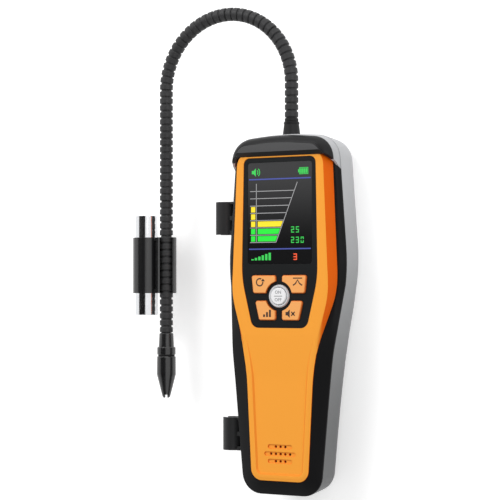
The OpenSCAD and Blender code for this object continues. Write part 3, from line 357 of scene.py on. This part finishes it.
def smooth_group():
    group = bpy.data.node_groups.new("smooth_by_angle", "GeometryNodeTree")
    group.interface.new_socket("Geometry", in_out="INPUT", socket_type="NodeSocketGeometry")
    group.interface.new_socket("Geometry", in_out="OUTPUT", socket_type="NodeSocketGeometry")
    weld = group.nodes.new("GeometryNodeMergeByDistance")
    weld.inputs["Distance"].default_value = WELD_DISTANCE
    forget = group.nodes.new("GeometryNodeRemoveAttribute")
    forget.inputs["Name"].default_value = "custom_normal"
    faces = group.nodes.new("GeometryNodeSetShadeSmooth")
    faces.domain = "FACE"
    edges = group.nodes.new("GeometryNodeSetShadeSmooth")
    edges.domain = "EDGE"
    angle = group.nodes.new("GeometryNodeInputMeshEdgeAngle")
    small = group.nodes.new("FunctionNodeCompare")
    small.operation = "LESS_THAN"
    small.inputs["B"].default_value = SMOOTH_ANGLE
    link = group.links.new
    link(group.nodes.new("NodeGroupInput").outputs[0], weld.inputs["Geometry"])
    link(weld.outputs["Geometry"], forget.inputs["Geometry"])
    link(forget.outputs["Geometry"], faces.inputs["Geometry"])
    link(faces.outputs["Geometry"], edges.inputs["Geometry"])
    link(angle.outputs["Unsigned Angle"], small.inputs["A"])
    link(small.outputs["Result"], edges.inputs["Shade Smooth"])
    link(edges.outputs["Geometry"], group.nodes.new("NodeGroupOutput").inputs[0])
    return group


def dress_nodes():
    group = smooth_group()
    for part in frame["record"]["subparts"]:
        node = frame["nodes"][part["node"]]
        node.data.materials.clear()
        node.data.materials.append(materials[FINISH.get(part["node"], part["material_slot"])])
        node.modifiers.new("smooth", "NODES").node_group = group


# Flat marks: outlines in mm, raised a hair over the surface that carries them
MARK_T = 0.03 * MM


def ribbon(points, width):
    """Outline of a line of that width through the points."""
    points = [Vector(p) for p in points]
    left, right = [], []
    for i, p in enumerate(points):
        way = (points[min(i + 1, len(points) - 1)] - points[max(i - 1, 0)]).normalized()
        side = Vector((-way.y, way.x)) * width / 2
        left.append(p + side)
        right.append(p - side)
    return left + right[::-1]


def bar(x0, y0, x1, y1):
    return [(x0, y0), (x1, y0), (x1, y1), (x0, y1)]


def arc(centre, radius, start, end, steps=20):
    angles = (math.radians(start + (end - start) * i / steps) for i in range(steps + 1))
    return [(centre[0] + radius * math.cos(a), centre[1] + radius * math.sin(a)) for a in angles]


def add_piece(name, data, place, material, body):
    data.materials.append(material)
    piece = bpy.data.objects.new(name, data)
    piece.location = place
    scene.collection.objects.link(piece)
    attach(piece, body)


def add_marks(name, outlines, origin, material, body):
    """One piece of flat marks. The outlines are in mm from origin, a point in the frame."""
    mesh = bpy.data.meshes.new(name)
    shape = bmesh.new()
    for outline in outlines:
        corners = [shape.verts.new(Vector((p[0] * MM, p[1] * MM, 0)) + origin) for p in outline]
        face = shape.faces.new(corners)
        face.normal_update()
        if face.normal.z < 0:
            face.normal_flip()
        for lifted in bmesh.ops.extrude_face_region(shape, geom=[face])["geom"]:
            if isinstance(lifted, bmesh.types.BMVert):
                lifted.co.z += MARK_T
    bmesh.ops.recalc_face_normals(shape, faces=shape.faces)
    shape.to_mesh(mesh)
    shape.free()
    add_piece(name, mesh, (0, 0, 0), material, body)


# Display: places in mm to the right of its left edge and down from its top edge
LCD_W, LCD_H, LCD_GROWN = 40.5, 57.2, 0.4
SCREEN_CORNER, CORNER_STEPS = 1.7, 8
LAYER_STEP = 0.004 * MM
# The scale: its lines, the upright line beside its cells and the slanted line that its bars end at
SCALE_TOP, SCALE_PITCH, SCALE_LINES = 16.1, 4.12, 8
SCALE_LEFT, AXIS_AT, AXIS_TOP = 1.4, 5.4, 11.8
SLANT_TOP, SLANT_FOOT = (31.4, 11.5), (18.0, 44.9)
CELL_LEFT, CELL_RIGHT, BAR_LEFT = 2.0, 4.7, 6.3
BAR_GAP, SLANT_GAP, GRID_W = 0.55, 0.5, 0.36
YELLOW_CELLS, YELLOW_BARS, GREEN_ROWS = (2, 5), (4, 5), (5, 7)
# The two rules across the display
RULES, RULE_W, RULE_INSET = (9.4, 48.7), 0.7, 0.7
# Icons: left and top, or left and middle, then their sizes. NUB_FROM, NUB_TO, the horn's values, WAVE_FROM
# and WAVE_RADII are shares of the icon's size
BATTERY = dict(x=32.6, y=3.5, w=5.6, h=3.8)
BATTERY_WALL, BATTERY_GAP, BATTERY_CELLS = 0.4, 0.2, 4
NUB_L, NUB_FROM, NUB_TO = 0.7, 0.28, 0.72
SPEAKER = dict(x=2.5, y=5.4, size=5.2)
HORN_NECK, HORN_MOUTH, HORN_HALF_NECK, HORN_HALF_MOUTH = 0.22, 0.5, 0.18, 0.45
WAVE_FROM, WAVE_RADII, WAVE_ANGLE, WAVE_W = 0.45, (0.3, 0.52), 48, 0.5
STEPS, STEP_LEFT, STEP_PITCH, STEP_W, STEP_RISE, STEP_FOOT = 6, 2.2, 2.2, 1.5, 0.7, 55.0
# Numerals: their signs, left and top, and the width, height and stroke of each
READINGS = (("25", 27.5, 36.3), ("230", 27.5, 42.1))
READING_SIZE = dict(w=1.9, h=3.4, t=0.5)
ALERT = ("3", 29.0, 51.4)
ALERT_SIZE = dict(w=2.2, h=3.6, t=0.6)
DIGIT_GAP = 1.1
# Kept clear at a numeral's corners and at its waist, as shares of a stroke's width
CORNER_CLEAR, WAIST_CLEAR = 1.2, 0.7
SEGMENTS = {"0": "abcdef", "2": "abged", "3": "abgcd", "5": "afgcd"}


def screen_corner(x, y, across, down):
    """What rounds the screen's corner at x, y; across and down are the signs of the ways into the screen."""
    curve = arc((SCREEN_CORNER, SCREEN_CORNER), SCREEN_CORNER, 180, 270, CORNER_STEPS)
    return [(x + across * u, y + down * v) for u, v in [(0, 0)] + curve[::-1]]


def row(i):
    return SCALE_TOP + i * SCALE_PITCH


def slant_at(down):
    share = (down - SLANT_TOP[1]) / (SLANT_FOOT[1] - SLANT_TOP[1])
    return SLANT_TOP[0] + (SLANT_FOOT[0] - SLANT_TOP[0]) * share


def scale_grid():
    upright = ribbon([(AXIS_AT, AXIS_TOP), (AXIS_AT, row(SCALE_LINES - 1))], GRID_W)
    slant = ribbon([SLANT_TOP, SLANT_FOOT], GRID_W)
    lines = [bar(SCALE_LEFT, row(i) - GRID_W / 2, slant_at(row(i)), row(i) + GRID_W / 2)
             for i in range(SCALE_LINES)]
    return [upright, slant] + lines


def level_bars(first, last):
    """Bars of the big scale, between two of its lines, ending beside the slanted line."""
    bars = []
    for i in range(first, last):
        top, foot = row(i) + BAR_GAP, row(i + 1) - BAR_GAP
        ends = [(slant_at(top) - SLANT_GAP, top), (slant_at(foot) - SLANT_GAP, foot)]
        bars.append([(BAR_LEFT, top)] + ends + [(BAR_LEFT, foot)])
    return bars


def level_cells(first, last):
    return [bar(CELL_LEFT, row(i) + BAR_GAP, CELL_RIGHT, row(i + 1) - BAR_GAP) for i in range(first, last)]


def digit(sign, x, y, w, h, t):
    """A seven-segment numeral whose upper left corner is at x, y, with strokes t wide."""
    middle, right, foot = y + h / 2, x + w, y + h
    upper = y + t * CORNER_CLEAR, middle - t * WAIST_CLEAR
    lower = middle + t * WAIST_CLEAR, foot - t * CORNER_CLEAR
    strokes = {
        "a": bar(x, y, right, y + t),
        "b": bar(right - t, upper[0], right, upper[1]),
        "c": bar(right - t, lower[0], right, lower[1]),
        "d": bar(x, foot - t, right, foot),
        "e": bar(x, lower[0], x + t, lower[1]),
        "f": bar(x, upper[0], x + t, upper[1]),
        "g": bar(x, middle - t / 2, right, middle + t / 2),
    }
    return [strokes[s] for s in SEGMENTS[sign]]


def number(signs, x, y, w, h, t):
    return [s for i, sign in enumerate(signs) for s in digit(sign, x + i * (w + DIGIT_GAP), y, w, h, t)]


def speaker_horn(x, y, size):
    """The horn of a loudspeaker, seen from the side: its left edge at x, its middle at y."""
    neck, mouth = x + HORN_NECK * size, x + HORN_MOUTH * size
    half_neck, half_mouth = HORN_HALF_NECK * size, HORN_HALF_MOUTH * size
    return [(x, y - half_neck), (neck, y - half_neck), (mouth, y - half_mouth),
            (mouth, y + half_mouth), (neck, y + half_neck), (x, y + half_neck)]


def sound_waves(x, y, size):
    middle = (x + WAVE_FROM * size, y)
    return [ribbon(arc(middle, r * size, -WAVE_ANGLE, WAVE_ANGLE), WAVE_W) for r in WAVE_RADII]


def battery_icon(x, y, w, h):
    nub = bar(x - NUB_L, y + h * NUB_FROM, x, y + h * NUB_TO)
    wall = BATTERY_WALL
    walls = [bar(x, y, x + w, y + wall), bar(x, y + h - wall, x + w, y + h),
             bar(x, y + wall, x + wall, y + h - wall), bar(x + w - wall, y + wall, x + w, y + h - wall)]
    pitch = (w - 2 * wall - BATTERY_GAP) / BATTERY_CELLS
    inset = wall + BATTERY_GAP
    charge = [bar(x + inset + i * pitch, y + inset, x + wall + (i + 1) * pitch, y + h - inset)
              for i in range(BATTERY_CELLS)]
    return [nub] + walls + charge


def signal_steps():
    steps = []
    for i in range(STEPS):
        left = STEP_LEFT + i * STEP_PITCH
        steps.append(bar(left, STEP_FOOT - STEP_RISE * (i + 1), left + STEP_W, STEP_FOOT))
    return steps


def add_display():
    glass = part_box("display_module")[1]
    origin = Vector((-LCD_W / 2 * MM, glass.y - LCD_GROWN * MM, glass.z))

    def add_layer(name, outlines, lift, material):
        upright = [[(x, -y) for x, y in outline] for outline in outlines]
        add_marks(name, upright, origin + Vector((0, 0, lift)), material, "housing")

    corners = [screen_corner(x, y, 1 if x == 0 else -1, 1 if y == 0 else -1)
               for y in (0, LCD_H) for x in (0, LCD_W)]
    add_layer("screen_corners", corners, 0, materials["window_black"])
    symbols = battery_icon(**BATTERY) + [speaker_horn(**SPEAKER)] + sound_waves(**SPEAKER)
    for reading in READINGS:
        symbols += number(*reading, **READING_SIZE)
    symbols += signal_steps()
    rules = [bar(RULE_INSET, v - RULE_W / 2, LCD_W - RULE_INSET, v + RULE_W / 2) for v in RULES]
    layers = (
        ("screen_scale", scale_grid(), glowing("screen_white", linear(164, 164, 166), 0.2)),
        ("screen_yellow", level_bars(*YELLOW_BARS) + level_cells(*YELLOW_CELLS),
         glowing("screen_yellow", linear(255, 226, 30), 0.15)),
        ("screen_green", level_bars(*GREEN_ROWS) + level_cells(*GREEN_ROWS),
         glowing("screen_green", linear(24, 232, 54), 0.15)),
        ("screen_symbols", symbols, glowing("screen_symbols", linear(50, 200, 80), 0.25)),
        ("screen_rules", rules, glowing("screen_blue", linear(66, 78, 160), 0.2)),
        ("screen_alert", number(*ALERT, **ALERT_SIZE), glowing("screen_red", linear(240, 84, 44), 0.4)),
    )
    for i, (name, outlines, material) in enumerate(layers):
        add_layer(name, outlines, i * LAYER_STEP, material)


# Key legends: plain pictograms, drawn in mm about their middle and then grown by LEGEND_SCALE, and ON over
# OFF on the power key
INK = surface("key_ink", linear(62, 40, 30), gloss=0.6, grain=0.1, edge=0, drift=0.1)
GREY_INK = surface("power_ink", linear(140, 141, 143), gloss=0.6, grain=0.1, edge=0, drift=0.1)
LEGEND_W = 0.6
LEGEND_SCALE = 1.2
WORD_SIZE = 2.5 * MM
WORD_STEP = Vector((0, 2.1, 0)) * MM
WORD_GROWN = 0.04 * MM
POWER_RULE = bar(-2.6, -0.2, 2.6, 0.2)


def reset_sign():
    ring = ribbon(arc((0, 0), 1.7, 60, 370), LEGEND_W)
    arrow_head = [(0.7, 0.5), (2.75, 0.45), (1.75, 1.75)]
    return [ring, arrow_head]


def peak_sign():
    curve = ribbon([(-2.4, -1.5), (-1.0, -0.6), (0, 1.1), (1.0, -0.6), (2.4, -1.5)], LEGEND_W)
    limit = bar(-2.4, 1.6, 2.4, 2.1)
    return [curve, limit]


def level_sign():
    return [bar(-2.1 + i * 1.55, -1.6, -1.1 + i * 1.55, -0.4 + i * 1.1) for i in range(3)]


def mute_sign():
    cross = [ribbon([(0.7, -0.9), (2.5, 0.9)], LEGEND_W), ribbon([(0.7, 0.9), (2.5, -0.9)], LEGEND_W)]
    return [speaker_horn(-2.3, 0, 4.4)] + cross


# Each key's sign, and where it sits as shares of the key's width and height
KEY_SIGNS = (
    ("reset_key", reset_sign(), 0.36, 0.6),
    ("peak_key", peak_sign(), 0.64, 0.6),
    ("sens_key", level_sign(), 0.58, 0.36),
    ("mute_key", mute_sign(), 0.42, 0.36),
)


def key_point(node, toward_x, toward_y):
    """A point on the key's top: shares of its width and height from its lower left corner."""
    low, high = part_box(node)
    return Vector((low.x + (high.x - low.x) * toward_x, low.y + (high.y - low.y) * toward_y, high.z))


def add_word(name, word, place):
    data = bpy.data.curves.new(name, "FONT")
    data.body = word
    data.size = WORD_SIZE
    data.align_x = "CENTER"
    data.align_y = "CENTER"
    data.extrude = MARK_T / 2
    data.offset = WORD_GROWN
    add_piece(name, data, place, GREY_INK, "power_key_body")


def add_key_legends():
    for node, sign, x, y in KEY_SIGNS:
        name = node.replace("_key", "_legend")
        outlines = [[Vector(p) * LEGEND_SCALE for p in outline] for outline in sign]
        add_marks(name, outlines, key_point(node, x, y), INK, node + "_body")
    middle = key_point("power_key", 0.5, 0.5)
    add_word("power_on", "ON", middle + WORD_STEP)
    add_word("power_off", "OFF", middle - WORD_STEP)
    add_marks("power_rule", [POWER_RULE], middle, GREY_INK, "power_key_body")


add_camera()
add_world()
add_floor()
add_card()
add_lamps()
dress_nodes()
add_display()
add_key_legends()
